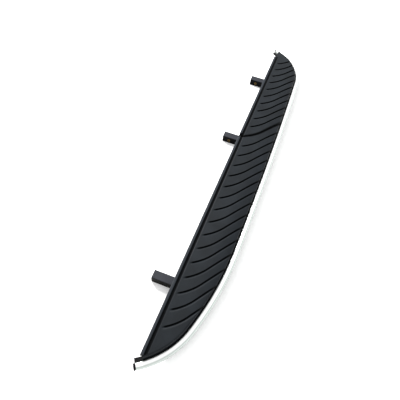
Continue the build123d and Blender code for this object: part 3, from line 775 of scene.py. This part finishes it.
def path_mesh(shortened):
    """The outboard edge as a mesh of edges, on the ground, with both ends shortened."""
    stations, reaches = edge_line(steps=PATH_STEPS)
    for end, neighbour in ((0, 1), (-1, -2)):
        run = (stations[neighbour] - stations[end], reaches[neighbour] - reaches[end])
        share = shortened / math.hypot(*run)
        stations[end] += run[0] * share
        reaches[end] += run[1] * share
    mesh = bpy.data.meshes.new("edge_path")
    points = [place(station, reach) for station, reach in zip(stations, reaches)]
    mesh.from_pydata(points, [(index, index + 1) for index in range(len(points) - 1)], [])
    return mesh


# ---- pieces ------------------------------------------------------------------------------------

def settle(piece, slot, *nodes):
    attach(piece, "root")
    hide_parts(*nodes)


def tread_covers():
    tree = swept_groove_tree()
    cos_start = math.cos(math.radians(SWEEP_ANGLE))
    rounded = [SEAM_GAP / 2 + SEAM_ROUND * share for share in (1.0, 0.4, 0.12, 0.0)]

    def beside_seam(reach):
        """Sides of the columns from outside the notch to the seam, for a notch of that reach."""
        corner = [reach * cos_start - step for step in (-0.05, 0.01, 0.8, 2.0, 3.6)]
        return corner + rounded

    before_seam = [(SEAM_STATION, -side) for side in beside_seam(NOTCH[0])]
    after_seam = [(SEAM_STATION, side) for side in reversed(beside_seam(NOTCH[1]))]
    tip_steps = (0.4, 1.2, 2.4, 4.0)
    front_tip = [(origin_at(FRONT_TIP + step, TIP_SETBACK), 0.0) for step in tip_steps]
    front_tip += [(origin_at(LIP_START + step), 0.0) for step in (-0.02, 0.0, LIP_RAMP, 4.0, 7.0)]
    rear_tip = [(origin_at(LIP_END - step), 0.0) for step in (7.0, 4.0, LIP_RAMP, 0.0, -0.02)]
    rear_tip += [(origin_at(REAR_TIP - step, TIP_SETBACK), 0.0) for step in (6.0, *reversed(tip_steps))]
    for name, node, start, grooves, end in (
            ("front_tread_cover_moulding", "front_tread_cover", front_tip, FRONT_GROOVES, before_seam),
            ("rear_tread_cover_moulding", "rear_tread_cover", after_seam, REAR_GROOVES, rear_tip)):
        shell = cover_shell(cover_columns(start, grooves, end))
        piece = grow(name, shell, tree, GROOVE_SIZES, FINISHES["tread_plastic"])
        tidy_mesh(piece, COVER_SHARP_ANGLE)
        settle(piece, "tread_plastic", node)


def trim_rail():
    path = path_mesh(CAP_SHOULDER)
    piece = grow("trim_rail_bar", path, rail_tree(), RAIL_SIZES, FINISHES["polished_rail"])
    tidy_mesh(piece, RAIL_SHARP_ANGLE)
    settle(piece, "polished_rail", "trim_rail")


# ---- floor, light and camera -------------------------------------------------------------------

def studio():
    mesh = bpy.data.meshes.new("floor")
    corners = [(x * FLOOR_HALF, y * FLOOR_HALF, 0) for x, y in ((-1, -1), (1, -1), (1, 1), (-1, 1))]
    mesh.from_pydata(corners, [], [(0, 1, 2, 3)])
    floor = bpy.data.objects.new("floor", mesh)
    bpy.context.scene.collection.objects.link(floor)
    paper = bpy.data.materials.new("white_paper")
    paper.use_nodes = True
    surface = paper.node_tree.nodes["Principled BSDF"]
    surface.inputs["Base Color"].default_value = (0.93, 0.93, 0.93, 1.0)
    surface.inputs["Roughness"].default_value = 0.9
    surface.inputs["Specular IOR Level"].default_value = 0.1
    surface.inputs["Emission Color"].default_value = (1.0, 1.0, 1.0, 1.0)
    surface.inputs["Emission Strength"].default_value = FLOOR_GLOW
    mesh.materials.append(paper)
    world = bpy.data.worlds.new("studio")
    world.use_nodes = True
    sky = world.node_tree.nodes["Background"]
    sky.inputs["Color"].default_value = (1.0, 1.0, 1.0, 1.0)
    sky.inputs["Strength"].default_value = SKY_STRENGTH
    bpy.context.scene.world = world
    bpy.context.scene.view_settings.view_transform = "Standard"


def soft_light(name, power, size, location, target):
    lamp = bpy.data.lights.new(name, "AREA")
    lamp.shape = "DISK"
    lamp.size = size
    lamp.energy = power
    light = bpy.data.objects.new(name, lamp)
    light.location = location
    light.rotation_euler = (Vector(target) - Vector(location)).to_track_quat("-Z", "Y").to_euler()
    bpy.context.scene.collection.objects.link(light)


def camera():
    """Camera in front of the board and above it, looking down along it, slightly rolled."""
    heading = Vector(CAMERA_HEADING)
    pitch, roll = math.radians(CAMERA_PITCH), math.radians(CAMERA_ROLL)
    up = Vector((0.0, 0.0, 1.0))
    forward = heading * math.cos(pitch) - up * math.sin(pitch)
    level = heading.cross(up)
    above = heading * math.sin(pitch) + up * math.cos(pitch)
    right = level * math.cos(roll) + above * math.sin(roll)
    upward = above * math.cos(roll) - level * math.sin(roll)
    turn = Matrix((right, upward, -forward)).transposed()
    data = bpy.data.cameras.new("camera")
    data.lens = CAMERA_LENS
    data.sensor_width = SENSOR_WIDTH
    eye = bpy.data.objects.new("camera", data)
    eye.matrix_world = Matrix.Translation(place(*CAMERA_PLACE)) @ turn.to_4x4()
    bpy.context.scene.collection.objects.link(eye)
    bpy.context.scene.camera = eye


studio()
soft_light("window", WINDOW_POWER, WINDOW_SIZE, WINDOW_PLACE, (0.0, 0.0, 0.0))
camera()
finish_cad_nodes()
tread_covers()
trim_rail()
